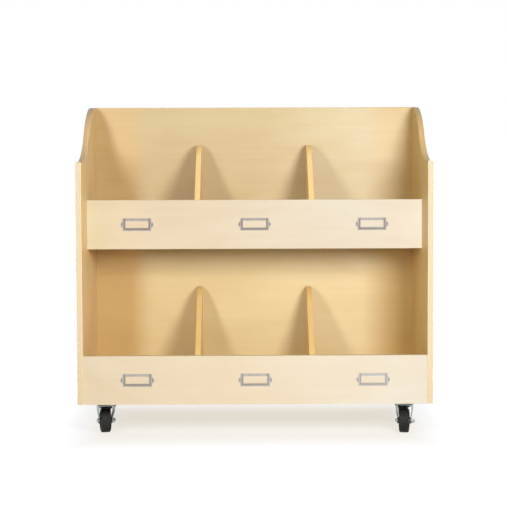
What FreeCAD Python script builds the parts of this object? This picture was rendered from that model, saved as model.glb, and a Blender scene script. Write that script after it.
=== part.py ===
"""Picture book browser bin: a two-tier plywood display unit on four swivel casters.

The unit stands on the XY plane and faces -Y; the origin is on the floor under its middle.
"""
import FreeCAD, Part
import os
import Sketcher

DIMENSIONS = (
    # the cabinet
    ("width", 1118, "overall width"),
    ("depth", 406, "front edges of the side panels to the outside of the back panel"),
    ("height", 1055, "floor to the top of the back"),
    ("lift", 24, "top of a caster's wheel to the underside of the cabinet"),
    ("panel", 18, "thickness of the plywood"),
    ("back_board", 12, "thickness of the back panel"),
    ("back_lap", 9, "reach of the back panel into each side panel"),
    ("shoulder", 861, "floor to the shoulder of a side panel"),
    ("shoulder_run", 26, "level part of the shoulder"),
    ("edge_ease", 1.2, "bevel of the edges that hands touch"),
    ("upper_setback", 143.5, "front edges to the face of the upper bin"),
    ("upper_level", 583, "floor to the underside of the upper bin"),
    ("upper_front", 158.5, "height of the upper bin's front panel"),
    ("lower_front", 154, "height of the lower bin's front panel"),
    # the dividers
    ("divider_offset", 186, "middle of the cabinet to the middle of a divider"),
    ("divider_rise", 325, "height of a divider above its shelf"),
    ("crown_radius", 110, "rounding at the top of a divider"),
    ("toe_radius", 150, "hollow at the foot of a lower divider's front"),
    ("toe_height", 50, "deck to the front end of a lower divider"),
    # the hidden joinery
    ("housing", 6, "depth of the grooves that take shelves, dividers and tongues"),
    ("tongue", 6, "thickness of the tongue on each end of a front panel"),
    ("tongue_stop", 20, "top of a front panel to the top of its tongues"),
    # the label holders
    ("holder_width", 92, "frame without its ears"),
    ("holder_height", 40, "frame"),
    ("holder_sheet", 1, "metal that lies on the wood"),
    ("holder_rise", 2.6, "wood to the face of the channel"),
    ("side_rail", 8.5, "frame beside the window"),
    ("top_rail", 8, "frame above the window"),
    ("foot_rail", 9, "frame below the window"),
    ("channel_inset", 3.5, "flat rim outside the channel"),
    ("channel_wall", 1, "metal of the channel's sides and foot"),
    ("channel_lip", 0.8, "metal in front of the card"),
    ("channel_bevel", 0.5, "bevel round the face of the channel"),
    ("ear_reach", 6.5, "reach of an ear beyond the frame"),
    ("ear_root", 23, "height of an ear at the frame"),
    ("ear_tip", 9, "height of an ear at its tip"),
    ("upper_holder_offset", 380, "middle to the outer holders of the upper bin"),
    ("lower_holder_offset", 370, "middle to the outer holders of the lower bin"),
    ("label_pin", 1.6, "square shank of a label holder's pin"),
    ("label_pin_reach", 3.1, "end of the frame to the middle of a pin"),
    ("label_pin_length", 9, "below its head"),
    ("label_pin_head", 4.4, "head of a label holder's pin"),
    ("label_pin_crown", 1.2, "thickness of that head"),
    # the casters
    ("front_caster_offset", 477, "middle to the kingpin of a front caster"),
    ("rear_caster_offset", 507, "middle to the kingpin of a rear caster"),
    ("caster_inset", 64, "front or back of the cabinet to a kingpin"),
    ("front_left_angle", 14, "swivel at rest, in degrees"),
    ("front_right_angle", 168.5, "swivel at rest, in degrees"),
    ("rear_left_angle", 6, "swivel at rest, in degrees"),
    ("rear_right_angle", -4, "swivel at rest, in degrees"),
    ("wheel_diameter", 76, "over the tread"),
    ("trail", 12, "kingpin to the axle"),
    ("tread_width", 30, "tyre"),
    ("tread_shoulder", 5, "rounding of the tyre's shoulders"),
    ("tread_thickness", 11, "tyre"),
    ("rim_width", 26, "hub where it carries the tyre"),
    ("web_width", 8, "hub between rim and boss"),
    ("boss_diameter", 20, "hub round the axle"),
    ("side_play", 0.3, "hub to each fork leg"),
    ("running_play", 0.08, "radial clearance of a turning fit"),
    ("axle_diameter", 8, "axle bolt"),
    ("bolt_head_diameter", 14, "round head of the axle bolt"),
    ("bolt_head_height", 6.5, "round head of the axle bolt"),
    ("bolt_head_rim", 1.5, "straight edge of that head"),
    ("bolt_tip", 0.8, "bevel at the end of the axle bolt"),
    ("nut_width", 13, "across the flats of the nut"),
    ("nut_height", 8, "hexagon of the nut"),
    ("bolt_end", 3, "bolt beyond its nut"),
    ("bore_play", 0.2, "a bolt or pin hole is wider than its bolt or pin by this"),
    ("fork_sheet", 2.5, "metal of the fork"),
    ("fork_width", 52, "outside of the fork at its crown"),
    ("fork_gap", 40, "inside of the fork at the axle"),
    ("fork_bend", 4, "outside bend between crown and leg"),
    ("fork_length", 48, "crown along the direction of travel"),
    ("fork_knee", 21, "top of the crown to where the legs start to close in"),
    ("fork_ankle", 41, "top of the crown to where the legs run straight again"),
    ("fork_foot", 10, "radius of a leg's round end"),
    ("fork_foot_angle", 15, "where the leg's edges meet its round end, below the axle, in degrees"),
    ("fork_skirt", 12, "straight edge of a leg below the crown"),
    ("plate_width", 58, "mount plate, across"),
    ("plate_length", 86, "mount plate, along"),
    ("plate_sheet", 2.5, "mount plate"),
    ("plate_corner", 8, "rounding of the mount plate"),
    ("plate_pitch_x", 42, "screw holes, across"),
    ("plate_pitch_y", 68, "screw holes, along"),
    ("race_diameter", 46, "raceway under the mount plate"),
    ("race_depth", 3, "raceway under the mount plate"),
    ("ring_diameter", 40, "ball race ring"),
    ("ring_width", 7, "ball race ring"),
    ("ring_height", 3, "ball race ring"),
    ("swivel_play", 0.3, "gap between the pieces that swivel on each other"),
    ("kingpin_diameter", 10, "kingpin"),
    ("dome_diameter", 38, "head of the kingpin below the fork"),
    ("dome_height", 6, "head of the kingpin below the fork"),
    ("dome_flat", 20, "flat bottom of that head"),
    ("caster_screw_head", 10, "across the flats of a caster screw's head"),
    ("caster_screw_crown", 3, "height of a caster screw's head"),
)

# rows of the sheet that follow from the others: the slope that touches both crown and toe
FORMULAS = (
    ("divider_run", "=depth - back_board - panel", "crown's centre to the toe's centre, level"),
    ("divider_climb", "=divider_rise - crown_radius - toe_height - toe_radius", "and upright"),
    ("divider_slope", "=atan(divider_climb / divider_run)"
     " + asin((crown_radius + toe_radius) / sqrt(divider_run ^ 2 + divider_climb ^ 2))",
     "slope of a divider's front, in degrees"),
)

# lengths that follow from the driving dimensions, as expressions on the sheet
FRONT_Y = "(-dims.depth / 2 + dims.holder_rise / 2)"
LIFT = "(dims.wheel_diameter + dims.lift)"
INNER = "(dims.width / 2 - dims.panel)"
CLEAR_DEPTH = "(dims.depth - dims.back_board)"
WALL_HEIGHT = f"(dims.height - {LIFT})"
UPPER_DEPTH = f"({CLEAR_DEPTH} - dims.upper_setback - dims.panel)"
LOWER_DEPTH = f"({CLEAR_DEPTH} - dims.panel)"
UPPER_BASE = f"(dims.upper_level - {LIFT})"
WHEEL_RADIUS = "(dims.wheel_diameter / 2)"
HUB_LENGTH = "(dims.fork_gap - 2 * dims.side_play)"
CROWN_TOP = f"({LIFT} - dims.plate_sheet - dims.race_depth - dims.swivel_play - dims.ring_height)"
SIDES = (-1, 1)

# tapers of small raised features, in degrees
PIN_TAPER = -30
RACE_TAPER = -20
SCREW_TAPER = -15

# how the bevels pick their edges, in mm and as a share
SAME_PLACE = 0.01
BORDER = 1
MOSTLY = 0.9

doc = FreeCAD.newDocument("picture_book_browser_bin")
dims = doc.addObject("Spreadsheet::Sheet", "dims")


def fill_sheet():
    """One row for each dimension: name, value, meaning."""
    for row, (alias, size, meaning) in enumerate(DIMENSIONS + FORMULAS, start=1):
        dims.set(f"A{row}", alias)
        dims.set(f"B{row}", str(size))
        dims.set(f"C{row}", meaning)
        dims.setAlias(f"B{row}", alias)
    doc.recompute()


def value(expression):
    """Present value of an expression on the sheet."""
    return float(dims.evalExpression(str(expression)))


# ---------------------------------------------------------------- sketches

def new_sketch(body, plane_role, offset="0"):
    """A sketch on one of the body's own planes, moved along the plane's normal."""
    number = len(body.Group)
    sketch = body.newObject("Sketcher::SketchObject", f"{body.Name}_sketch_{number}")
    planes = [plane for plane in body.Origin.OriginFeatures if plane.Role == plane_role]
    sketch.AttachmentSupport = (planes[0], "")
    sketch.MapMode = "FlatFace"
    if offset != "0":
        sketch.setExpression("AttachmentOffset.Base.z", offset)
    return sketch


def bind(sketch, constraints):
    """Add constraints and tie each one that has an expression to the sheet."""
    first = sketch.ConstraintCount
    sketch.addConstraint([constraint for constraint, _ in constraints])
    for number, (_, expression) in enumerate(constraints, start=first):
        if expression is not None:
            sketch.setExpression(f"Constraints[{number}]", expression)


def pin_point(geometry, end, across, up):
    """Constraints that put one end of a curve at (across, up) from the sketch's origin."""
    return [
        (Sketcher.Constraint("DistanceX", -1, 1, geometry, end, value(across)), str(across)),
        (Sketcher.Constraint("DistanceY", -1, 1, geometry, end, value(up)), str(up)),
    ]


def arc_between(start, end, radius, turns_left):
    """The short arc of a given radius from start to end."""
    chord = end - start
    middle = (start + end) * 0.5
    rise = (radius ** 2 - (chord.Length / 2) ** 2) ** 0.5
    normal = FreeCAD.Vector(-chord.y, chord.x, 0).normalize()
    side = 1 if turns_left else -1
    centre = middle + normal * rise * side
    crest = centre - normal * radius * side
    return Part.Arc(start, crest, end)


def outline(sketch, corners, bends=None):
    """A closed outline through corners, anticlockwise.

    bends maps the number of an edge to (radius, turns_left) where that edge is an arc.
    """
    bends = bends or {}
    places = [FreeCAD.Vector(value(across), value(up), 0) for across, up in corners]
    first = sketch.GeometryCount
    count = len(corners)
    ends = []
    constraints = []
    for edge in range(count):
        start = places[edge]
        end = places[(edge + 1) % count]
        if edge in bends:
            radius, turns_left = bends[edge]
            sketch.addGeometry(arc_between(start, end, value(radius), turns_left), False)
            ends.append((1, 2) if turns_left else (2, 1))
            constraints.append((Sketcher.Constraint("Radius", first + edge, value(radius)), radius))
        else:
            sketch.addGeometry(Part.LineSegment(start, end), False)
            ends.append((1, 2))
    for edge, (across, up) in enumerate(corners):
        before = (edge - 1) % count
        arrival, departure = ends[before][1], ends[edge][0]
        joint = Sketcher.Constraint("Coincident", first + before, arrival, first + edge, departure)
        constraints.append((joint, None))
        constraints += pin_point(first + edge, departure, across, up)
    bind(sketch, constraints)


def rectangle(sketch, left, right, bottom, top):
    """A closed rectangle between four expressions."""
    outline(sketch, ((left, bottom), (right, bottom), (right, top), (left, top)))


def circles(sketch, centres, diameter):
    """Equal circles round the centres."""
    constraints = []
    for across, up in centres:
        centre = FreeCAD.Vector(value(across), value(up), 0)
        circle = Part.Circle(centre, FreeCAD.Vector(0, 0, 1), value(diameter) / 2)
        number = sketch.addGeometry(circle, False)
        constraints += pin_point(number, 3, across, up)
        constraints.append((Sketcher.Constraint("Diameter", number, value(diameter)), str(diameter)))
    bind(sketch, constraints)


def squares(sketch, centres, size):
    """Equal squares round the centres."""
    half = f"{size} / 2"
    for across, up in centres:
        rectangle(sketch, f"{across} - {half}", f"{across} + {half}", f"{up} - {half}", f"{up} + {half}")


def hexagon(sketch, across_flats, across="0", up="0"):
    """A regular hexagon round a centre."""
    half = f"{across_flats} / 2"
    reach = f"{across_flats} / sqrt(3)"
    corners = (
        (f"{across} + {reach}", up),
        (f"{across} + {reach} / 2", f"{up} + {half}"),
        (f"{across} - {reach} / 2", f"{up} + {half}"),
        (f"{across} - {reach}", up),
        (f"{across} - {reach} / 2", f"{up} - {half}"),
        (f"{across} + {reach} / 2", f"{up} - {half}"),
    )
    outline(sketch, corners)


# ---------------------------------------------------------------- features

def new_body(label, base=("0", "0", "0"), turn=None):
    """A body placed by expressions, and turned about the vertical where turn is given."""
    body = doc.addObject("PartDesign::Body", label)
    body.Label = label
    if turn is not None:
        body.Placement = FreeCAD.Placement(FreeCAD.Vector(), FreeCAD.Rotation(FreeCAD.Vector(0, 0, 1), 1))
        body.setExpression("Placement.Rotation.Angle", turn)
    for axis, expression in zip("xyz", base):
        body.setExpression(f"Placement.Base.{axis}", expression)
    return body


def solid_volume(body):
    """Volume of the body as it stands."""
    doc.recompute()
    return body.Shape.Volume if not body.Shape.isNull() else 0


def pad(body, sketch, length, backward=False, centred=False, taper=0):
    """Grow the outline into the body; the volume has to rise."""
    before = solid_volume(body)
    feature = body.newObject("PartDesign::Pad", f"{sketch.Name}_pad")
    feature.Profile = sketch
    feature.setExpression("Length", str(length))
    feature.Reversed = backward
    feature.TaperAngle = taper
    if centred:
        feature.SideType = "Symmetric"
    if solid_volume(body) <= before:
        raise RuntimeError(f"{feature.Name} adds nothing")
    return feature


def cut(body, sketch, depth=None, backward=False):
    """Cut the outline out of the body, right through where no depth is given."""
    before = solid_volume(body)
    feature = body.newObject("PartDesign::Pocket", f"{sketch.Name}_cut")
    feature.Profile = sketch
    feature.Reversed = backward
    if depth is None:
        feature.Type = "ThroughAll"
        feature.SideType = "Symmetric"
    else:
        feature.setExpression("Length", str(depth))
    if solid_volume(body) >= before:
        raise RuntimeError(f"{feature.Name} cuts nothing")
    return feature


def turned(body, corners, bends=None, axis="H_Axis"):
    """Turn a half profile about an axis of its sketch."""
    sketch = new_sketch(body, "XZ_Plane")
    outline(sketch, corners, bends)
    feature = body.newObject("PartDesign::Revolution", f"{sketch.Name}_turned")
    feature.Profile = sketch
    feature.ReferenceAxis = (sketch, [axis])
    feature.Angle = 360
    if solid_volume(body) <= 0:
        raise RuntimeError(f"{feature.Name} is empty")
    return feature


def rods(body, plane_role, centres, diameter, start, length, backward=False, taper=0):
    """Round rods that start on a plane at the offset start."""
    sketch = new_sketch(body, plane_role, start)
    circles(sketch, centres, diameter)
    return pad(body, sketch, length, backward, taper=taper)


def ease(body, keeps, size="dims.edge_ease"):
    """Bevel the edges of the body's last feature that pass the test keeps."""
    base = body.Tip
    names = [f"Edge{number}" for number, edge in enumerate(base.Shape.Edges, start=1) if keeps(edge)]
    feature = body.newObject("PartDesign::Chamfer", f"{body.Name}_eased")
    feature.Base = (base, names)
    feature.setExpression("Size", size)
    doc.recompute()


def lies_at(edge, axis, place):
    """True where the whole edge lies in the plane axis = place."""
    box = edge.BoundBox
    low, high = getattr(box, f"{axis}Min"), getattr(box, f"{axis}Max")
    return abs(low - place) < SAME_PLACE and abs(high - place) < SAME_PLACE


def runs_along(edge, axis):
    """True where the edge is longest along the axis."""
    box = edge.BoundBox
    return getattr(box, f"{axis}Length") > MOSTLY * box.DiagonalLength


# ---------------------------------------------------------------- places shared by pieces

def tongue_span(setback):
    """Front and rear of a front panel's tongues, from the front edges of the side panels."""
    middle = f"{setback} + dims.panel / 2"
    return f"{middle} - dims.tongue / 2", f"{middle} + dims.tongue / 2"


def holder_centres(offset, height):
    """Middles of the three label holders of a bin, as (from the middle, above the front's foot)."""
    return [(f"{side} * {offset}", f"{height} / 2") for side in (-1, 0, 1)]


def ear_centres(offset, height, lift="0"):
    """Pins in the ears of a bin's label holders."""
    reach = "(dims.holder_width / 2 + dims.label_pin_reach)"
    return [(f"{middle} + {side} * {reach}", f"{lift} + {up}")
            for middle, up in holder_centres(offset, height) for side in SIDES]


# ---------------------------------------------------------------- the cabinet's panels

def side_panel(label, left):
    """Side with a straight front, a shoulder and an ogee of two equal arcs up to the back."""
    place = "-dims.width / 2" if left else INNER
    body = new_body(label, (place, FRONT_Y, LIFT))
    run = "(dims.depth - dims.shoulder_run)"
    rise = "(dims.height - dims.shoulder)"
    radius = f"({run} * {run} + {rise} * {rise}) / (4 * {rise})"
    corners = (
        ("0", "0"),
        ("dims.depth", "0"),
        ("dims.depth", WALL_HEIGHT),
        (f"dims.depth - {run} / 2", f"{WALL_HEIGHT} - {rise} / 2"),
        ("dims.shoulder_run", f"{WALL_HEIGHT} - {rise}"),
        ("0", f"{WALL_HEIGHT} - {rise}"),
    )
    face = new_sketch(body, "YZ_Plane")
    outline(face, corners, {2: (radius, True), 3: (radius, False)})
    pad(body, face, "dims.panel")
    ease(body, shows_on_side)
    rabbet(body, left)
    grooves = new_sketch(body, "YZ_Plane", "dims.panel" if left else "0")
    side_grooves(grooves)
    cut(body, grooves, "dims.housing", backward=not left)


def side_grooves(sketch):
    """Grooves of one side panel: two take shelves, two take the tongues of the front panels."""
    behind = "dims.upper_setback + dims.panel"
    rectangle(sketch, "dims.panel", CLEAR_DEPTH, "0", "dims.panel")
    rectangle(sketch, behind, CLEAR_DEPTH, UPPER_BASE, f"{UPPER_BASE} + dims.panel")
    bins = (("0", "0", "dims.lower_front"), ("dims.upper_setback", UPPER_BASE, "dims.upper_front"))
    for setback, foot, height in bins:
        front, rear = tongue_span(setback)
        rectangle(sketch, front, rear, foot, f"{foot} + {height} - dims.tongue_stop")


def shows_on_side(edge):
    """Long edges of a side panel's front, shoulder and ogee, on both faces."""
    in_face = lies_at(edge, "X", 0) or lies_at(edge, "X", value("dims.panel"))
    box = edge.BoundBox
    at_foot = box.ZMax < BORDER
    at_back = box.YMin > value("dims.depth") - BORDER
    return in_face and not at_foot and not at_back


def rabbet(body, left):
    """Step along the rear inner corner of a side panel for the back panel."""
    start = "dims.panel - dims.back_lap" if left else "0"
    end = "dims.panel" if left else "dims.back_lap"
    step = new_sketch(body, "XY_Plane")
    rectangle(step, start, end, CLEAR_DEPTH, "dims.depth")
    cut(body, step)


def back_panel():
    """Full back, let into both side panels."""
    body = new_body("back_panel", ("0", f"{FRONT_Y} + {CLEAR_DEPTH}", LIFT))
    reach = f"({INNER} + dims.back_lap)"
    face = new_sketch(body, "XZ_Plane")
    rectangle(face, f"-{reach}", reach, "0", WALL_HEIGHT)
    pad(body, face, "dims.back_board", backward=True)
    top = value(WALL_HEIGHT)
    ease(body, lambda edge: lies_at(edge, "Z", top) and runs_along(edge, "X"))


def shelf(label, level, start, depth):
    """Level panel housed in both side panels, with a groove for each divider; it starts behind a front."""
    body = new_body(label, ("0", f"{FRONT_Y} + {start}", level))
    reach = f"({INNER} + dims.housing)"
    plan = new_sketch(body, "XY_Plane")
    rectangle(plan, f"-{reach}", reach, "0", depth)
    pad(body, plan, "dims.panel")
    grooves = new_sketch(body, "XY_Plane", "dims.panel")
    for side in SIDES:
        middle = f"{side} * dims.divider_offset"
        rectangle(grooves, f"{middle} - dims.panel / 2", f"{middle} + dims.panel / 2", "0", depth)
    cut(body, grooves, "dims.housing")


def bin_front(label, level, setback, height, holder_offset):
    """Upright panel across the front of a bin, with a hidden tongue on each end and holes for pins."""
    body = new_body(label, ("0", f"{FRONT_Y} + {setback}", level))
    face = new_sketch(body, "XZ_Plane")
    rectangle(face, f"-{INNER}", INNER, "0", height)
    pad(body, face, "dims.panel", backward=True)
    top = value(height)
    ease(body, lambda edge: lies_at(edge, "Z", top) and runs_along(edge, "X"))
    tongues = new_sketch(body, "YZ_Plane")
    front, rear = tongue_span("0")
    rectangle(tongues, front, rear, "0", f"{height} - dims.tongue_stop")
    pad(body, tongues, f"2 * ({INNER} + dims.housing)", centred=True)
    holes = new_sketch(body, "XZ_Plane")
    squares(holes, ear_centres(holder_offset, height), "dims.label_pin")
    cut(body, holes, "dims.label_pin_length")


def divider(label, side, level, start, depth, has_toe):
    """Upright divider with a rounded crown and a sloping front, hollowed at the toe where it runs on.

    Its foot stands in a groove of the shelf below.
    """
    place = f"{side} * dims.divider_offset"
    body = new_body(label, (place, f"{FRONT_Y} + {start}", f"{level} + dims.panel"))
    sine = "sin(dims.divider_slope)"
    cosine = "cos(dims.divider_slope)"
    toe = "dims.toe_radius" if has_toe else "0"
    crown_y = f"({depth} - dims.crown_radius * {sine})"
    crown_z = f"(dims.divider_rise - dims.crown_radius * (1 - {cosine}))"
    foot_y = f"({toe} * {sine})"
    foot_z = f"({crown_z} - ({crown_y} - {foot_y}) * tan(dims.divider_slope))"
    corners = [
        ("0", "-dims.housing"),
        (depth, "-dims.housing"),
        (depth, "dims.divider_rise"),
        (crown_y, crown_z),
        (foot_y, foot_z),
    ]
    bends = {2: ("dims.crown_radius", True)}
    if has_toe:
        corners.append(("0", f"({foot_z} - {toe} * (1 - {cosine}))"))
        bends[4] = ("dims.toe_radius", False)
    face = new_sketch(body, "YZ_Plane")
    outline(face, corners, bends)
    pad(body, face, "dims.panel", centred=True)
    ease(body, lambda edge: shows_on_divider(edge, value(depth)))


def shows_on_divider(edge, depth):
    """Edges of a divider's crown and sloping front, on both faces."""
    half = value("dims.panel") / 2
    in_face = lies_at(edge, "X", -half) or lies_at(edge, "X", half)
    box = edge.BoundBox
    at_foot = box.ZMax < BORDER
    at_back = box.YMin > depth - BORDER
    at_front = box.YMax < BORDER
    return in_face and not (at_foot or at_back or at_front)


# ---------------------------------------------------------------- label holders

def label_holder_pins():
    """Round-headed pins through the ears of the six label holders."""
    body = new_body("label_holder_pins", ("0", FRONT_Y, LIFT))
    rows = (
        ("0", ear_centres("dims.lower_holder_offset", "dims.lower_front")),
        ("dims.upper_setback", ear_centres("dims.upper_holder_offset", "dims.upper_front", UPPER_BASE)),
    )
    for setback, centres in rows:
        seat = f"dims.holder_sheet - {setback}"
        shanks = new_sketch(body, "XZ_Plane", seat)
        squares(shanks, centres, "dims.label_pin")
        pad(body, shanks, "dims.holder_sheet + dims.label_pin_length - dims.bore_play", backward=True)
        rods(body, "XZ_Plane", centres, "dims.label_pin_head", seat, "dims.label_pin_crown", taper=PIN_TAPER)


def label_holder(label, middle, setback, level, height):
    """Pressed frame with a window, a raised channel that takes a card from above, and two pinned ears."""
    body = new_body(label, (middle, f"{FRONT_Y} + {setback}", f"{level} + {height} / 2"))
    half = "(dims.holder_width / 2)"
    tall = "(dims.holder_height / 2)"
    flange = new_sketch(body, "XZ_Plane")
    outline(flange, flange_corners(half, tall))
    pad(body, flange, "dims.holder_sheet")
    window_side = f"({half} - dims.side_rail)"
    window_foot = f"(-{tall} + dims.foot_rail)"
    channel_side = f"({half} - dims.channel_inset)"
    channel_foot = f"(-{tall} + dims.channel_inset)"
    channel = new_sketch(body, "XZ_Plane")
    corners = (
        (f"-{channel_side}", channel_foot),
        (channel_side, channel_foot),
        (channel_side, tall),
        (window_side, tall),
        (window_side, window_foot),
        (f"-{window_side}", window_foot),
        (f"-{window_side}", tall),
        (f"-{channel_side}", tall),
    )
    outline(channel, corners)
    pad(body, channel, "dims.holder_rise")
    face = -value("dims.holder_rise")
    ease(body, lambda edge: lies_at(edge, "Y", face), "dims.channel_bevel")
    card = new_sketch(body, "XZ_Plane", "dims.holder_sheet")
    card_side = f"({channel_side} - dims.channel_wall)"
    card_foot = f"({channel_foot} + dims.channel_wall)"
    rectangle(card, f"-{card_side}", card_side, card_foot, f"{tall} + dims.channel_wall")
    cut(body, card, "dims.holder_rise - dims.holder_sheet - dims.channel_lip", backward=True)
    window = new_sketch(body, "XZ_Plane")
    rectangle(window, f"-{window_side}", window_side, window_foot, f"{tall} - dims.top_rail")
    cut(body, window)
    holes = new_sketch(body, "XZ_Plane")
    reach = f"({half} + dims.label_pin_reach)"
    squares(holes, ((f"-{reach}", "0"), (reach, "0")), "dims.label_pin")
    cut(body, holes)


def flange_corners(half, tall):
    """Outline of a label holder with an ear at each end, anticlockwise."""
    tip = f"({half} + dims.ear_reach)"
    right = (
        (half, f"-{tall}"),
        (half, "-dims.ear_root / 2"),
        (tip, "-dims.ear_tip / 2"),
        (tip, "dims.ear_tip / 2"),
        (half, "dims.ear_root / 2"),
        (half, tall),
    )
    left = tuple((f"-{across}", up) for across, up in reversed(right))
    return right + left


# ---------------------------------------------------------------- casters

FRONT_ROW = f"({FRONT_Y} + dims.caster_inset)"
REAR_ROW = f"({FRONT_Y} + dims.depth - dims.caster_inset)"
CASTERS = (
    # name, kingpin across, kingpin along, swivel at rest, turn of the axle bolt in its fork
    ("front_left", "-dims.front_caster_offset", FRONT_ROW, "dims.front_left_angle", "0"),
    ("front_right", "dims.front_caster_offset", FRONT_ROW, "dims.front_right_angle", "180"),
    ("rear_left", "-dims.rear_caster_offset", REAR_ROW, "dims.rear_left_angle", "0"),
    ("rear_right", "dims.rear_caster_offset", REAR_ROW, "dims.rear_right_angle", "0"),
)


def mount_plate(name, x, y):
    """Plate under the deck with a raceway, a hole for the kingpin and the heads of its four screws."""
    body = new_body(f"{name}_mount_plate", (x, y, f"{LIFT} - dims.plate_sheet"))
    plan = new_sketch(body, "XY_Plane")
    half_x = "(dims.plate_width / 2)"
    half_y = "(dims.plate_length / 2)"
    rectangle(plan, f"-{half_x}", half_x, f"-{half_y}", half_y)
    pad(body, plan, "dims.plate_sheet")
    ease(body, lambda edge: runs_along(edge, "Z"), "dims.plate_corner")
    rods(body, "XY_Plane", (("0", "0"),), "dims.race_diameter", "0", "dims.race_depth", True, RACE_TAPER)
    heads = new_sketch(body, "XY_Plane")
    for across in SIDES:
        for along in SIDES:
            hexagon(heads, "dims.caster_screw_head", f"{across} * dims.plate_pitch_x / 2",
                    f"{along} * dims.plate_pitch_y / 2")
    pad(body, heads, "dims.caster_screw_crown", True, taper=SCREW_TAPER)
    centre = new_sketch(body, "XY_Plane")
    circles(centre, (("0", "0"),), "dims.kingpin_diameter + dims.bore_play")
    cut(body, centre)


def kingpin(name, x, y):
    """Rivet that carries the fork, with a shallow head below the crown."""
    body = new_body(f"{name}_kingpin", (x, y, "0"))
    shank = "(dims.kingpin_diameter / 2)"
    seat = f"({CROWN_TOP} - dims.fork_sheet - dims.swivel_play)"
    bottom = f"({seat} - dims.dome_height)"
    corners = (
        ("0", bottom),
        ("dims.dome_flat / 2", bottom),
        ("dims.dome_diameter / 2", seat),
        (shank, seat),
        (shank, LIFT),
        ("0", LIFT),
    )
    turned(body, corners, axis="V_Axis")


def ball_race(name, x, y, angle):
    """Ring of the swivel bearing, on the fork's crown."""
    body = new_body(f"{name}_ball_race", (x, y, CROWN_TOP), angle)
    outer = "dims.ring_diameter / 2"
    inner = f"{outer} - dims.ring_width"
    corners = ((inner, "0"), (outer, "0"), (outer, "dims.ring_height"), (inner, "dims.ring_height"))
    turned(body, corners, axis="V_Axis")


def fork(name, x, y, angle):
    """Bent sheet fork: a crown, and two legs that close in and sweep back to the axle."""
    body = new_body(f"{name}_fork", (x, y, "0"), angle)
    wide = "(dims.fork_width / 2)"
    narrow = "(dims.fork_gap / 2 + dims.fork_sheet)"
    foot = f"({WHEEL_RADIUS} - dims.fork_foot)"
    sheet = "dims.fork_sheet"
    bend = "dims.fork_bend"
    knee = f"({CROWN_TOP} - dims.fork_knee)"
    ankle = f"({CROWN_TOP} - dims.fork_ankle)"
    right = [
        (f"{narrow} - {sheet}", foot),
        (narrow, foot),
        (narrow, ankle),
        (wide, knee),
        (wide, f"{CROWN_TOP} - {bend}"),
        (f"{wide} - {bend}", CROWN_TOP),
    ]
    left = [(f"-({across})", up) for across, up in reversed(right)]
    inside = [
        (f"-({wide} - {sheet})", knee),
        (f"-({wide} - {sheet})", f"{CROWN_TOP} - {sheet}"),
        (f"{wide} - {sheet}", f"{CROWN_TOP} - {sheet}"),
        (f"{wide} - {sheet}", knee),
        (f"{narrow} - {sheet}", ankle),
    ]
    inside.insert(0, (f"-({narrow} - {sheet})", ankle))
    corners = right + left + inside
    front = new_sketch(body, "XZ_Plane")
    outline(front, corners, {4: (bend, True), 6: (bend, True)})
    pad(body, front, "2 * (dims.fork_length + dims.trail)", centred=True)
    trim_legs(body)
    centre = new_sketch(body, "XY_Plane")
    circles(centre, (("0", "0"),), "dims.kingpin_diameter + 2 * dims.running_play")
    cut(body, centre)
    axle = new_sketch(body, "YZ_Plane")
    circles(axle, (("dims.trail", WHEEL_RADIUS),), "dims.axle_diameter + dims.bore_play")
    cut(body, axle)


def trim_legs(body):
    """Cut away what lies outside the fork's side view: straight skirts, then a taper to a round foot."""
    half = "(dims.fork_length / 2)"
    beyond = "(dims.fork_length + 2 * dims.trail)"
    skirt = f"({CROWN_TOP} - dims.fork_skirt)"
    side = new_sketch(body, "YZ_Plane")
    rectangle(side, f"-{beyond}", beyond, "-dims.fork_foot", f"{CROWN_TOP} + dims.fork_foot")
    foot_y = "dims.fork_foot * cos(dims.fork_foot_angle)"
    foot_z = f"{WHEEL_RADIUS} - dims.fork_foot * sin(dims.fork_foot_angle)"
    corners = (
        (f"dims.trail - {foot_y}", foot_z),
        (f"dims.trail + {foot_y}", foot_z),
        (half, skirt),
        (half, CROWN_TOP),
        (f"-{half}", CROWN_TOP),
        (f"-{half}", skirt),
    )
    outline(side, corners, {0: ("dims.fork_foot", True)})
    cut(body, side)


def wheel(name, centre, angle):
    """Tyre with rounded shoulders on a hub with rim, web and boss."""
    tread = new_body(f"{name}_wheel_tread", centre, angle)
    half = "(dims.tread_width / 2)"
    bore = f"({WHEEL_RADIUS} - dims.tread_thickness)"
    shoulder_x = f"({half} - dims.tread_shoulder)"
    side_r = f"({WHEEL_RADIUS} - dims.tread_shoulder)"
    rising = [(half, bore), (half, side_r), (shoulder_x, WHEEL_RADIUS)]
    falling = [(f"-{across}", up) for across, up in reversed(rising)]
    rounding = ("dims.tread_shoulder", True)
    turned(tread, rising + falling, {1: rounding, 3: rounding})

    hub = new_body(f"{name}_wheel_hub", centre, angle)
    boss_x = f"({HUB_LENGTH} / 2)"
    boss_r = "dims.boss_diameter / 2"
    web_x = "(dims.web_width / 2)"
    rim_x = "(dims.rim_width / 2)"
    rising = [
        (boss_x, "dims.axle_diameter / 2 + dims.running_play"),
        (boss_x, boss_r),
        (web_x, boss_r),
        (rim_x, bore),
    ]
    falling = [(f"-{across}", up) for across, up in reversed(rising)]
    turned(hub, rising + falling)


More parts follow.
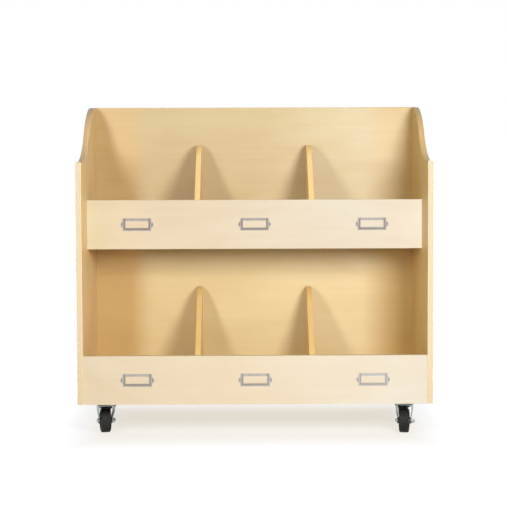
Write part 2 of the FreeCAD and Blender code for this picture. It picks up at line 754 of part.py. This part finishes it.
def axle(name, centre, bolt_angle):
    """Round-headed bolt through both legs and the hub, and its nut."""
    seat = "(dims.fork_gap / 2 + dims.fork_sheet)"
    bolt = new_body(f"{name}_axle_bolt", centre, bolt_angle)
    end = f"({seat} + dims.nut_height + dims.bolt_end)"
    shank = "(dims.axle_diameter / 2)"
    head = "(dims.bolt_head_diameter / 2)"
    crown = "(dims.bolt_head_height - dims.bolt_head_rim)"
    ball = f"({head} * {head} + {crown} * {crown}) / (2 * {crown})"
    corners = (
        (f"-{seat} - dims.bolt_head_height", "0"),
        (end, "0"),
        (end, f"{shank} - dims.bolt_tip"),
        (f"{end} - dims.bolt_tip", shank),
        (f"-{seat}", shank),
        (f"-{seat}", head),
        (f"-{seat} - dims.bolt_head_rim", head),
    )
    turned(bolt, corners, {6: (ball, True)})

    nut = new_body(f"{name}_axle_nut", centre, bolt_angle)
    block = new_sketch(nut, "YZ_Plane", seat)
    hexagon(block, "dims.nut_width")
    pad(nut, block, "dims.nut_height")
    thread = new_sketch(nut, "YZ_Plane")
    circles(thread, (("0", "0"),), "dims.axle_diameter + dims.bore_play / 2")
    cut(nut, thread)


def caster(name, x, y, angle, bolt_turn):
    """One swivel caster, its wheel trailing the kingpin."""
    mount_plate(name, x, y)
    kingpin(name, x, y)
    ball_race(name, x, y, angle)
    fork(name, x, y, angle)
    centre = (f"{x} - dims.trail * sin({angle})", f"{y} + dims.trail * cos({angle})", WHEEL_RADIUS)
    wheel(name, centre, angle)
    axle(name, centre, f"{angle} + {bolt_turn}")


# ---------------------------------------------------------------- the whole unit

def build_cabinet():
    """The wooden carcass and its dividers."""
    side_panel("left_side_panel", True)
    side_panel("right_side_panel", False)
    back_panel()
    shelf("base_deck", LIFT, "dims.panel", LOWER_DEPTH)
    upper_start = "(dims.upper_setback + dims.panel)"
    shelf("upper_shelf", "dims.upper_level", upper_start, UPPER_DEPTH)
    bin_front("lower_bin_front", LIFT, "0", "dims.lower_front", "dims.lower_holder_offset")
    bin_front("upper_bin_front", "dims.upper_level", "dims.upper_setback", "dims.upper_front",
              "dims.upper_holder_offset")
    for name, side in (("left", -1), ("right", 1)):
        divider(f"upper_{name}_divider", side, "dims.upper_level", upper_start, UPPER_DEPTH, False)
        divider(f"lower_{name}_divider", side, LIFT, "dims.panel", LOWER_DEPTH, True)


def build_label_holders():
    """Three label holders on each bin's front, and their pins."""
    for name, side in (("left", -1), ("middle", 0), ("right", 1)):
        label_holder(f"upper_{name}_label_holder", f"{side} * dims.upper_holder_offset", "dims.upper_setback",
                     "dims.upper_level", "dims.upper_front")
        label_holder(f"lower_{name}_label_holder", f"{side} * dims.lower_holder_offset", "0",
                     LIFT, "dims.lower_front")
    label_holder_pins()


def build_casters():
    """The four casters."""
    for name, x, y, angle, bolt_turn in CASTERS:
        caster(name, x, y, angle, bolt_turn)


def write_parts():
    """Check every object and shape, then write one STEP file for each sub-part."""
    doc.recompute()
    for thing in doc.Objects:
        if "Invalid" in thing.State or "Error" in thing.State:
            raise RuntimeError(f"{thing.Name} is {thing.State}")
    bodies = [thing for thing in doc.Objects if thing.TypeId == "PartDesign::Body"]
    for body in bodies:
        if body.Shape.isNull() or not body.Shape.isValid():
            raise RuntimeError(f"{body.Label} has no valid shape")
    os.makedirs("parts", exist_ok=True)
    for body in bodies:
        body.Shape.exportStep(f"parts/{body.Label}.step")


fill_sheet()
build_cabinet()
build_label_holders()
build_casters()
write_parts()
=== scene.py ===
"""Looks of the picture book browser bin: plywood, pressed steel, zinc casters, studio floor and light."""
import math

import bpy
from mathutils import Matrix, Vector


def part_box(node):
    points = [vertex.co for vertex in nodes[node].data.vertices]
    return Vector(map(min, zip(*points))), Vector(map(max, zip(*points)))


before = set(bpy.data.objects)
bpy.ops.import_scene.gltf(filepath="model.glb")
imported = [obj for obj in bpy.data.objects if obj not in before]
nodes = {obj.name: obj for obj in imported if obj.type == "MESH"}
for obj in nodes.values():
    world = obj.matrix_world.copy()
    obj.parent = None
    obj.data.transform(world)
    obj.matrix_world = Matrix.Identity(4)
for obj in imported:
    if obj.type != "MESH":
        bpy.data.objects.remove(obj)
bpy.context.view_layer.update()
scene = bpy.context.scene

X, Y, Z = 0, 1, 2
WHITE = (1, 1, 1, 1)


# ------------------------------------------------------------ shader helpers

# Sockets of the mix node when it mixes colours
MIX_SHARE, MIX_FIRST, MIX_SECOND, MIX_RESULT = 0, 6, 7, 2


class Shader:
    """Short hand for building the node tree of a material or world."""

    def __init__(self, owner):
        self.owner = owner
        owner.use_nodes = True
        self.tree = owner.node_tree
        self.tree.nodes.clear()

    def node(self, kind, settings=(), **inputs):
        """Add a node. An input's name is that of its socket, with _ for a space."""
        made = self.tree.nodes.new(kind)
        for key, setting in dict(settings).items():
            setattr(made, key, setting)
        for key, given in inputs.items():
            self.feed(made.inputs[key.replace("_", " ")], given)
        return made

    def feed(self, socket, given):
        """Link an output to a socket, or set the socket's own value."""
        if isinstance(given, bpy.types.NodeSocket):
            self.tree.links.new(given, socket)
        else:
            socket.default_value = given

    def in_order(self, made, given):
        """Feed a node's sockets in their order, and return its first output."""
        for socket, one in zip(made.inputs, given):
            self.feed(socket, one)
        return made.outputs[0]

    def math(self, operation, first, second=0.0, third=0.0):
        made = self.node("ShaderNodeMath", {"operation": operation})
        return self.in_order(made, (first, second, third))

    def largest(self, first, *others):
        for other in others:
            first = self.math("MAXIMUM", first, other)
        return first

    def between(self, given, low, high, to_low=0.0, to_high=1.0):
        """Map a range smoothly onto another one."""
        made = self.node("ShaderNodeMapRange", {"interpolation_type": "SMOOTHSTEP"}, Value=given,
                         From_Min=low, From_Max=high, To_Min=to_low, To_Max=to_high)
        return made.outputs[0]

    def mix(self, share, first, second, blend="MIX"):
        """Mix two colours."""
        made = self.node("ShaderNodeMix", {"data_type": "RGBA", "blend_type": blend, "clamp_factor": True})
        self.feed(made.inputs[MIX_SHARE], share)
        self.feed(made.inputs[MIX_FIRST], first)
        self.feed(made.inputs[MIX_SECOND], second)
        return made.outputs[MIX_RESULT]

    def tint(self, share, colour, tint):
        """Multiply a colour by a tint, as far as share says."""
        return self.mix(share, colour, self.mix(1.0, colour, tint, "MULTIPLY"))

    def noise(self, vector, scale, detail, roughness):
        made = self.node("ShaderNodeTexNoise", {"noise_dimensions": "3D"}, Vector=vector, Scale=scale,
                         Detail=detail, Roughness=roughness)
        return made.outputs[0]

    def stretched_noise(self, place, scales, detail, roughness):
        """Noise with a scale of its own along each of three axes."""
        parts = [self.math("MULTIPLY", part, scale) for part, scale in zip(place, scales)]
        vector = self.in_order(self.node("ShaderNodeCombineXYZ"), parts)
        return self.noise(vector, 1.0, detail, roughness)

    def place(self):
        """Object coordinates in metres: as a vector, and as three outputs."""
        source = self.node("ShaderNodeTexCoord").outputs["Object"]
        return source, self.node("ShaderNodeSeparateXYZ", Vector=source).outputs

    def normal(self):
        """The surface's normal as three outputs."""
        source = self.node("ShaderNodeTexCoord").outputs["Normal"]
        return self.node("ShaderNodeSeparateXYZ", Vector=source).outputs

    def is_seen(self):
        """1 where the camera, a reflection or glass looks at it, else 0."""
        path = self.node("ShaderNodeLightPath").outputs
        return self.largest(path["Is Camera Ray"], path["Is Glossy Ray"], path["Is Transmission Ray"])

    def bump(self, height, strength, distance):
        return self.node("ShaderNodeBump", Height=height, Strength=strength, Distance=distance).outputs[0]

    def mixed_shader(self, share, first, second):
        return self.in_order(self.node("ShaderNodeMixShader"), (share, first, second))

    def added_shader(self, first, second):
        return self.in_order(self.node("ShaderNodeAddShader"), (first, second))

    def surface(self, **inputs):
        """Add the principled shader and the output, and return the material."""
        shader = self.node("ShaderNodeBsdfPrincipled", **inputs)
        self.node("ShaderNodeOutputMaterial", Surface=shader.outputs[0])
        return self.owner


def new_material(name):
    return Shader(bpy.data.materials.new(name))


def srgb(red, green, blue):
    """Linear colour from a display colour of 0 to 255, by the sRGB curve."""
    def linear(level):
        share = level / 255
        return share / 12.92 if share <= 0.04045 else ((share + 0.055) / 1.055) ** 2.4
    return (linear(red), linear(green), linear(blue), 1.0)


def put(node, material):
    """Give a CAD node one material."""
    mesh = nodes[node].data
    mesh.materials.clear()
    mesh.materials.append(material)


# ------------------------------------------------------------ plywood

# Display colours: face and figure of the veneer at the left of the cabinet, and at its right; the tone at the
# right is painted light, lighter on fronts and back, and painted shade, darker on the right side panel's
# inner
# face; edge and end_grain of the plies on an edge, and pores in them. The other entries multiply those
# colours:
# tints: painted light and shade by place: axis, place along it where the tint is nil, place where it is full,
# tint; not on a face to the back
# outside: on the face that looks away from the origin, where it takes off the painted shade of the inner
# faces
# edge_top_painted_shade, edge_sloping_painted_light, edge_level_painted_light: painted light and shade on the
# side panels' edges: on edges high up, on sloping ones and on level ones
FRONT_WOOD = {
    # the tone at the right is painted light, lighter there
    "face": (241, 221, 185), "face_right_painted_light": (247, 234, 210),
    "figure": (233, 209, 169), "figure_right_painted_light": (241, 223, 192),
    "edge": (246, 228, 190), "end_grain": (230, 198, 146), "pores": (214, 176, 120),
}
UPPER_FRONT_WOOD = dict(
    FRONT_WOOD,
    painted_light_tints=(
        # painted shadow of the left side panel on the bin front's left end; painted light on its right end
        (X, -0.40, -0.52, (0.88, 0.93, 0.88, 1)),
        (X, 0.44, 0.53, (0.98, 1.04, 1.10, 1)),
    ),
)
# The inner woods (back, deck, shelf, sides) are darker and warmer than the fronts: painted shade and bounce
# light inside the bins
BACK_WOOD = {
    # the tone at the right is painted light, lighter there
    "face": (209, 185, 130), "face_right_painted_light": (214, 191, 139),
    "figure": (198, 169, 110), "figure_right_painted_light": (204, 177, 119),
    "edge": (226, 205, 162), "end_grain": (208, 174, 117), "pores": (192, 152, 93),
    "painted_light_tints": (
        # painted shade, darker higher up the back; painted warm bounce light in the left and right corners
        (Z, 0.50, 0.70, (0.80, 0.79, 0.78, 1)),
        (X, -0.35, -0.43, (1.09, 0.98, 0.82, 1)),
        (X, 0.35, 0.50, (0.98, 0.88, 0.62, 1)),
    ),
    # outside: lifts the painted shade off the back panel's outer face
    "outside": (1.16, 1.22, 1.50, 1),
}
SIDE_WOOD = {
    # the tone at the right is painted shade, darker on the right side panel's inner face
    "face": (219, 187, 131), "face_right_painted_light": (206, 173, 109),
    "figure": (203, 168, 108), "figure_right_painted_light": (189, 151, 86),
    "edge": (175, 158, 125), "end_grain": (166, 146, 109), "pores": (154, 130, 92),
    # painted shade on edges high up; painted light on sloping and level edges
    "edge_top_painted_shade": (0.80, 0.80, 0.78, 1),
    "edge_sloping_painted_light": (1.34, 1.09, 0.85, 1),
    "edge_level_painted_light": (1.10, 1.15, 1.30, 1),
    # outside: lifts the painted shade off the outer faces
    "outside": (1.05, 1.17, 1.48, 1),
}
RIGHT_SIDE_WOOD = dict(
    SIDE_WOOD,
    # stronger painted shade high up and painted light on sloping edges
    edge_top_painted_shade=(0.60, 0.60, 0.46, 1),
    edge_sloping_painted_light=(1.68, 1.38, 1.10, 1),
    # outside: lifts the deeper painted shade of the right inner face off its outer face
    outside=(1.20, 1.38, 2.10, 1),
)
DIVIDER_WOOD = {
    "face": (222, 188, 129), "face_right_painted_light": (222, 188, 129),
    "figure": (210, 172, 106), "figure_right_painted_light": (210, 172, 106),
    "edge": (223, 190, 120), "end_grain": (205, 165, 93), "pores": (188, 145, 75),
}

PLIES = 13                          # in every panel
PANEL = 0.018                       # thickness in metres
BACK_BOARD = 0.012                  # the same for the back panel
PANELS = {
    # node: grain axis, thickness axis, thickness, wood
    "left_side_panel": (Z, X, PANEL, SIDE_WOOD),
    "right_side_panel": (Z, X, PANEL, RIGHT_SIDE_WOOD),
    "back_panel": (X, Y, BACK_BOARD, BACK_WOOD),
    "base_deck": (X, Z, PANEL, BACK_WOOD),
    "upper_shelf": (X, Z, PANEL, BACK_WOOD),
    "lower_bin_front": (X, Y, PANEL, FRONT_WOOD),
    "upper_bin_front": (X, Y, PANEL, UPPER_FRONT_WOOD),
    "upper_left_divider": (Z, X, PANEL, DIVIDER_WOOD),
    "upper_right_divider": (Z, X, PANEL, DIVIDER_WOOD),
    "lower_left_divider": (Z, X, PANEL, DIVIDER_WOOD),
    "lower_right_divider": (Z, X, PANEL, DIVIDER_WOOD),
}

# Noises in the wood: scales along the grain, across it and through the sheet; detail; roughness
STREAKS = ((2.2, 70.0, 70.0), 5.0, 0.62)
CLOUDS = ((3.0, 7.0, 1.0), 3.0, 0.55)
DRIFT = ((0.9, 2.6, 1.0), 1.5, 0.5)
FLECKS = ((38.0, 520.0, 1.0), 2.0, 0.5)
GRIT = ((160.0, 160.0, 420.0), 2.0, 0.5)

# Levels of a noise at which its pattern starts and is full, and the share of dark it then adds
STREAK_LEVELS, STREAK_SHARE = (0.32, 0.72), 0.24
CLOUD_LEVELS, CLOUD_SHARE = (0.3, 0.7), 0.40
FLECK_LEVELS, FLECK_SHARE = (0.60, 0.78), 0.14
GRIT_LEVELS, GRIT_SHARE = (0.35, 0.75), 0.25

# Rings in the veneer: radians per metre across the grain, radians that the drift adds, power, share of dark
RING_TURN, RING_WANDER, RING_SHARPNESS, RING_SHARE = 55.0, 46.0, 3.0, 0.16

SEED_ALONG, SEED_ACROSS = 3.7, 1.3  # metres from one panel's place in the noises to the next one's
# painted light towards the right: lighter on fronts and back, darker painted shade on the right side panel
PAINTED_LIGHT_TO_THE_RIGHT = (-0.15, 0.5)         # X between which the veneer's tone turns into that of the right
EDGE_HEIGHTS = (0.1, 1.0)           # Z between which edge_top_painted_shade fades in
SLOPING = (0.05, 0.3)               # upward part of the normal between which edge_sloping_painted_light fades in
LEVEL = (0.35, 0.8)                 # the same for edge_level_painted_light
FACING = 0.5                        # part of the normal from which a face looks along an axis
FAR_OUT = 0.1                       # metres from the origin, along the thickness axis, where outside starts
PLY_CHANGE = (0.38, 0.62)           # part of the way between two plies' middles where the tone changes
WOOD_ROUGHNESS = 0.40
STREAK_ROUGHNESS = 0.12             # what the streaks add to it
WOOD_BUMP = (0.05, 0.0004)          # strength, and depth in metres


def veneer_figure(make, place, streaks):
    """Darkness of the veneer: wandering rings, streaks, clouds and short flecks."""
    drift = make.stretched_noise(place, *DRIFT)
    clouds = make.stretched_noise(place, *CLOUDS)
    flecks = make.stretched_noise(place, *FLECKS)
    phase = make.math("MULTIPLY_ADD", drift, RING_WANDER, make.math("MULTIPLY", place[1], RING_TURN))
    waves = make.math("MULTIPLY_ADD", make.math("SINE", phase), 0.5, 0.5)
    figure = make.math("MULTIPLY", make.math("POWER", waves, RING_SHARPNESS), RING_SHARE)
    patterns = (
        (streaks, STREAK_LEVELS, STREAK_SHARE),
        (clouds, CLOUD_LEVELS, CLOUD_SHARE),
        (flecks, FLECK_LEVELS, FLECK_SHARE),
    )
    for noise, levels, share in patterns:
        figure = make.math("MULTIPLY_ADD", make.between(noise, *levels), share, figure)
    return figure


def veneer_colour(make, wood, place, normal, thick, figure):
    """Tone of the two faces of a panel, with painted light and shade towards the right, by place and on the
    inner faces.
    """
    painted_light_rightwards = make.between(place[X], *PAINTED_LIGHT_TO_THE_RIGHT)
    face = make.mix(painted_light_rightwards, srgb(*wood["face"]), srgb(*wood["face_right_painted_light"]))
    dark = make.mix(painted_light_rightwards, srgb(*wood["figure"]), srgb(*wood["figure_right_painted_light"]))
    veneer = make.mix(figure, face, dark)
    not_the_back = make.math("LESS_THAN", normal[Y], FACING)
    # painted light and shade laid on by place
    for axis, nil, full, tint in wood.get("painted_light_tints", ()):
        share = make.math("MULTIPLY", not_the_back, make.between(place[axis], nil, full))
        veneer = make.tint(share, veneer, tint)
    # painted shade stays on the inner faces; this tint takes it off the outer ones
    if "outside" in wood:
        outwards = make.math("MULTIPLY", normal[thick], place[thick])
        veneer = make.tint(make.math("GREATER_THAN", outwards, FAR_OUT), veneer, wood["outside"])
    return veneer


def edge_colour(make, wood, place, normal, depth_in_plies, grit):
    """Tone of the plies on the edges of a panel, with painted light and shade on the side panels' edges."""
    stripe = make.between(make.math("PINGPONG", depth_in_plies, 1.0), *PLY_CHANGE)
    edge = make.mix(stripe, srgb(*wood["edge"]), srgb(*wood["end_grain"]))
    edge = make.mix(make.between(grit, *GRIT_LEVELS, 0.0, GRIT_SHARE), edge, srgb(*wood["pores"]))
    # painted light and shade on the side panels' edges
    if "edge_top_painted_shade" in wood:
        edge = make.tint(make.between(place[Z], *EDGE_HEIGHTS), edge, wood["edge_top_painted_shade"])
        edge = make.tint(make.between(normal[Z], *SLOPING), edge, wood["edge_sloping_painted_light"])
        edge = make.tint(make.between(normal[Z], *LEVEL), edge, wood["edge_level_painted_light"])
    return edge


def plywood(name, grain, thick, start, thickness, seed, wood):
    """Birch plywood: veneer with a faint figure along the grain axis, and plies on the edges."""
    make = new_material(name)
    _, place = make.place()
    normal = make.normal()
    across = ({X, Y, Z} - {grain, thick}).pop()
    in_wood = (
        make.math("ADD", place[grain], seed * SEED_ALONG),
        make.math("ADD", place[across], seed * SEED_ACROSS),
        place[thick],
    )
    streaks = make.stretched_noise(in_wood, *STREAKS)
    grit = make.stretched_noise(in_wood, *GRIT)
    figure = veneer_figure(make, in_wood, streaks)
    depth_in_plies = make.math("MULTIPLY", make.math("SUBTRACT", place[thick], start), PLIES / thickness)

    veneer = veneer_colour(make, wood, place, normal, thick, figure)
    edge = edge_colour(make, wood, place, normal, depth_in_plies, grit)
    is_edge = make.math("LESS_THAN", make.math("ABSOLUTE", normal[thick]), FACING)
    return make.surface(
        Base_Color=make.mix(is_edge, veneer, edge),
        Roughness=make.math("MULTIPLY_ADD", streaks, STREAK_ROUGHNESS, WOOD_ROUGHNESS),
        Normal=make.bump(streaks, *WOOD_BUMP),
    )


def dress_panels():
    for seed, (node, (grain, thick, thickness, wood)) in enumerate(PANELS.items(), start=1):
        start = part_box(node)[0][thick]
        put(node, plywood(f"plywood_{node}", grain, thick, start, thickness, seed, wood))


# ------------------------------------------------------------ metal, rubber and plastic

METALS = {
    # name: display colour, worn display colour, roughness, scale of the clouds
    "zinc_plate": ((150, 164, 162), (118, 132, 132), 0.34, 90),
    # race_steel_painted_shade: darker steel on kingpin and ball race, standing in for the shade under the
    # cabinet: painted shade
    "race_steel_painted_shade": ((84, 92, 92), (58, 64, 64), 0.38, 80),
    "plated_steel": ((176, 182, 182), (150, 158, 160), 0.22, 80),
    "pin_steel": ((150, 144, 140), (128, 122, 120), 0.34, 80),
}
BLACKS = {
    # name: display colour, worn display colour, roughness, scale of the bloom, specular level
    "black_rubber": ((28, 28, 23), (40, 40, 34), 0.52, 40, 0.15),
    "black_plastic": ((24, 24, 24), (34, 34, 34), 0.46, 60, 0.5),
}
FINISHES = {
    # part of a node's name: its material
    "_pins": "pin_steel",
    "_fork": "zinc_plate",
    "_mount_plate": "zinc_plate",
    "_kingpin": "race_steel_painted_shade",
    "_ball_race": "race_steel_painted_shade",
    "_axle_bolt": "plated_steel",
    "_axle_nut": "plated_steel",
    "_wheel_tread": "black_rubber",
    "_wheel_hub": "black_plastic",
}

HOLDER_STEEL = ((190, 183, 176), (174, 167, 160), 0.40, 60)
# darker tone of the label holders' channel, which stands out: painted shade
CHANNEL_PAINTED_SHADE = (155, 146, 137)
CHANNEL_DEPTH = 0.0016              # metres from the face of a label holder's channel to its flat rim
# painted light: label holders lighter towards the right of each row
HOLDER_PAINTED_LIGHT = {"upper": 0.08, "lower": 0.20}   # share of white at the right of a row of label holders
HOLDER_PAINTED_LIGHT_RANGE = (-0.3, 0.5)    # X between which it fades in

# A noise's detail and roughness; how much finer grain and grit are than clouds and bloom
METAL_CLOUDS, METAL_GRAIN, METAL_FINER = (4.0, 0.6), (2.0, 0.6), 14
BLACK_BLOOM, BLACK_GRIT, BLACK_FINER = (4.0, 0.6), (2.0, 0.5), 18

# Levels at which wear starts and is full; span of the roughness; strength of the bump, and depth in metres
METAL_LEVELS, METAL_SPAN, METAL_BUMP = (0.35, 0.7), 0.16, (0.06, 0.0002)
BLACK_LEVELS, BLACK_SPAN, BLACK_BUMP = (0.4, 0.75), 0.15, (0.12, 0.0002)


def pressed_steel(name, colour, worn, roughness, scale, raised_painted_shade=None, raised_from=0.0, painted_light_share=0.0):
    """Nickel or zinc plate with a cloudy tone.

    What stands out further than raised_from may get a darker tone: painted shade on the channel. Such a plate
    also gets painted light, lighter to the right.
    """
    make = new_material(name)
    source, place = make.place()
    clouds = make.noise(source, scale, *METAL_CLOUDS)
    grain = make.noise(source, scale * METAL_FINER, *METAL_GRAIN)
    tone = make.mix(make.between(clouds, *METAL_LEVELS), srgb(*colour), srgb(*worn))
    if raised_painted_shade:
        # painted shade on the channel that stands out
        tone = make.mix(make.math("LESS_THAN", place[Y], raised_from), tone, srgb(*raised_painted_shade))
        # painted light towards the right of a row
        tone = make.mix(make.between(place[X], *HOLDER_PAINTED_LIGHT_RANGE, 0.0, painted_light_share), tone, WHITE)
    return make.surface(
        Base_Color=tone,
        Metallic=1.0,
        Roughness=make.math("MULTIPLY_ADD", grain, METAL_SPAN, roughness - METAL_SPAN / 2),
        Normal=make.bump(grain, *METAL_BUMP),
    )


def black(name, colour, worn, roughness, scale, specular):
    """Black rubber or plastic with a faint bloom."""
    make = new_material(name)
    source, _ = make.place()
    bloom = make.noise(source, scale, *BLACK_BLOOM)
    grit = make.noise(source, scale * BLACK_FINER, *BLACK_GRIT)
    return make.surface(
        Base_Color=make.mix(make.between(bloom, *BLACK_LEVELS), srgb(*colour), srgb(*worn)),
        Roughness=make.math("MULTIPLY_ADD", bloom, BLACK_SPAN, roughness),
        Specular_IOR_Level=specular,
        Normal=make.bump(grit, *BLACK_BUMP),
    )


def dress_casters_and_pins():
    made = {name: pressed_steel(name, *look) for name, look in METALS.items()}
    made.update({name: black(name, *look) for name, look in BLACKS.items()})
    for node in nodes:
        for part, material in FINISHES.items():
            if part in node:
                put(node, made[material])


def dress_label_holders():
    for row, painted_light_share in HOLDER_PAINTED_LIGHT.items():
        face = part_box(f"{row}_middle_label_holder")[0][Y]
        holder = pressed_steel(f"{row}_label_holder_steel", *HOLDER_STEEL, raised_painted_shade=CHANNEL_PAINTED_SHADE,
                               raised_from=face + CHANNEL_DEPTH / 2, painted_light_share=painted_light_share)
        for side in ("left", "middle", "right"):
            put(f"{row}_{side}_label_holder", holder)


# ------------------------------------------------------------ smooth shading

SMOOTH_ANGLE = math.radians(32)
WELD_DISTANCE = 0.00001             # in metres


def smooth_round_pieces():
    """Smooth shading where neighbouring faces meet at a small angle."""
    for thing in nodes.values():
        bpy.ops.object.select_all(action="DESELECT")
        thing.select_set(True)
        bpy.context.view_layer.objects.active = thing
        weld = thing.modifiers.new("weld", "WELD")
        weld.merge_threshold = WELD_DISTANCE
        bpy.ops.object.shade_auto_smooth(use_auto_smooth=True, angle=SMOOTH_ANGLE)


# ------------------------------------------------------------ floor and world

FLOOR_SIZE = 60                         # in metres

# Metres between which the visible floor's tone changes: a painted shadow, from UNDER_TONE, darkest and warm
# under the object, to the lighter painted shade of NEAR_TONE, and from there to the white of FAR_TONE. In
# front of the object the first change starts with a small step of its own, under the cabinet.
NEAR_BESIDE, FAR_BESIDE = (0.42, 0.62), (0.58, 0.70)
NEAR_BEHIND, FAR_BEHIND = (0.20, 0.46), (0.40, 0.52)
NEAR_BEFORE, FAR_BEFORE = (-0.20, -0.48), (-0.38, -0.56)
FIRST_STEP, FIRST_STEP_SHARE = (0.12, -0.04), 0.20

# painted shadow: warm and darkest under the object, lighter near it
UNDER_TONE = (0.745, 0.70, 0.625, 1)
NEAR_TONE = (0.88, 0.88, 0.88, 1)
FAR_TONE = (1.02, 1.02, 1.02, 1)
SHADED_PART = (0.17, 0.17, 0.17, 1)     # lit part of the visible floor, which takes the shadow
PLAIN_FLOOR = (0.8, 0.79, 0.77, 1)      # the floor as every other ray meets it
WORLD_FILL = 0.05


def floor_tone(make):
    """Tone of the visible floor: a painted shadow, dimmest under the object, and white all round."""
    _, place = make.place()
    beside = make.math("ABSOLUTE", place[X])
    first_step = make.between(place[Y], *FIRST_STEP, 0.0, FIRST_STEP_SHARE)
    before = make.between(place[Y], *NEAR_BEFORE, 0.0, 1 - FIRST_STEP_SHARE)
    near = make.largest(
        make.between(beside, *NEAR_BESIDE),
        make.between(place[Y], *NEAR_BEHIND),
        make.math("ADD", first_step, before),
    )
    far = make.largest(
        make.between(beside, *FAR_BESIDE),
        make.between(place[Y], *FAR_BEHIND),
        make.between(place[Y], *FAR_BEFORE),
    )
    return make.mix(far, make.mix(near, UNDER_TONE, NEAR_TONE), FAR_TONE)


def floor_material():
    """White floor that keeps the object's cast shadow, carries a painted shadow round the object, and runs to
    white at the horizon.
    """
    make = new_material("pale_floor")
    plain = make.node("ShaderNodeBsdfDiffuse", Color=PLAIN_FLOOR).outputs[0]
    shaded = make.node("ShaderNodeBsdfDiffuse", Color=SHADED_PART).outputs[0]
    # the emission carries the painted shadow and the white floor
    glow_with_painted_shadow = make.node("ShaderNodeEmission", Color=floor_tone(make), Strength=1.0).outputs[0]
    shown = make.mixed_shader(make.is_seen(), plain, make.added_shader(shaded, glow_with_painted_shadow))
    make.node("ShaderNodeOutputMaterial", Surface=shown)
    return make.owner


def build_floor():
    bpy.ops.mesh.primitive_plane_add(size=FLOOR_SIZE, location=(0, 0, 0))
    floor = bpy.context.object
    floor.name = "floor"
    floor.data.materials.append(floor_material())


def build_world():
    """Even fill from all round; white where the camera, a reflection or glass looks at it."""
    world = bpy.data.worlds.new("studio")
    scene.world = world
    make = Shader(world)
    fill = make.node("ShaderNodeBackground", Color=WHITE, Strength=WORLD_FILL).outputs[0]
    white = make.node("ShaderNodeBackground", Color=WHITE, Strength=1.0).outputs[0]
    make.node("ShaderNodeOutputWorld", Surface=make.mixed_shader(make.is_seen(), fill, white))


# ------------------------------------------------------------ lamps and camera

COOL = (0.97, 1.02, 1.16)
NEUTRAL = (1, 1, 1)
MIDDLE = (0, 0, 0.55)
STRAIGHT_DOWN = (0.0, 0.15, 0.0)        # where the lamp named over looks

CAMERA_PLACE = (-0.0203, -4.1396, 0.7642)
CAMERA_TURNS = ((-0.235, "Z"), (87.242, "X"), (-0.203, "Z"))    # turn, pitch and roll in degrees
LENS, SENSOR = 89.62, 36                # in millimetres
CLIP_END = 200                          # in metres


def softbox(name, place, width, height, watts, colour, aim, lit):
    """Rectangular lamp that looks at its aim and lights only the things given."""
    lamp = bpy.data.lights.new(name, "AREA")
    lamp.shape = "RECTANGLE"
    lamp.size = width
    lamp.size_y = height
    lamp.energy = watts
    lamp.color = colour
    thing = bpy.data.objects.new(name, lamp)
    scene.collection.objects.link(thing)
    thing.location = place
    thing.rotation_euler = (Vector(aim) - Vector(place)).to_track_quat("-Z", "Y").to_euler()
    group = bpy.data.collections.new(f"lit_by_{name}")
    for piece in lit:
        group.objects.link(piece)
    thing.light_linking.receiver_collection = group


def build_lamps():
    """Key from the right and fill from the left for most things, and a frontal lamp for fronts and sides.

    The bin fronts take no light from key, fill and above, and the label holders none from key and fill.
    The lamps behind and beside the object show its outside in other views.
    """
    pieces = list(nodes.values())
    fronts = [thing for node, thing in nodes.items() if "_bin_front" in node]
    sides = [thing for node, thing in nodes.items() if "_side_panel" in node]
    holders = [thing for node, thing in nodes.items() if "label_holder" in node]
    others = [thing for thing in scene.objects if thing.type == "MESH" and thing not in fronts + holders]
    not_sides = [thing for thing in pieces if thing not in sides]
    lamps = (
        # name, place, width, height, watts, colour, aim, what it lights
        ("key", (0.91, -1.8, 1.05), 0.58, 0.64, 40, COOL, MIDDLE, others),
        ("fill", (-1.16, -1.8, 1.05), 0.28, 0.64, 23, COOL, MIDDLE, others),
        ("above", (0.1, -2.6, 2.2), 1.6, 0.8, 8, NEUTRAL, MIDDLE, others + holders),
        ("front", (0.0, -4.4, 1.1), 1.0, 1.0, 108, NEUTRAL, MIDDLE, fronts + sides),
        ("over", (0.0, 0.15, 2.6), 1.4, 0.7, 12, NEUTRAL, STRAIGHT_DOWN, not_sides),
        ("behind", (0.9, 3.0, 1.0), 1.2, 1.0, 84, NEUTRAL, MIDDLE, pieces),
        ("beside_left", (-3.0, 0.6, 0.7), 1.0, 1.0, 22, NEUTRAL, MIDDLE, sides),
        ("beside_right", (3.0, 0.6, 0.7), 1.0, 1.0, 22, NEUTRAL, MIDDLE, sides),
    )
    for lamp in lamps:
        softbox(*lamp)


def build_camera():
    """The photograph's view."""
    camera = bpy.data.cameras.new("camera")
    camera.sensor_width = SENSOR
    camera.lens = LENS
    camera.clip_end = CLIP_END
    thing = bpy.data.objects.new("camera", camera)
    scene.collection.objects.link(thing)
    stand = Matrix.Translation(CAMERA_PLACE)
    for degrees, axis in CAMERA_TURNS:
        stand = stand @ Matrix.Rotation(math.radians(degrees), 4, axis)
    thing.matrix_world = stand
    scene.camera = thing


dress_panels()
dress_casters_and_pins()
dress_label_holders()
smooth_round_pieces()
build_floor()
build_world()
build_lamps()
build_camera()
scene.view_settings.view_transform = "Standard"
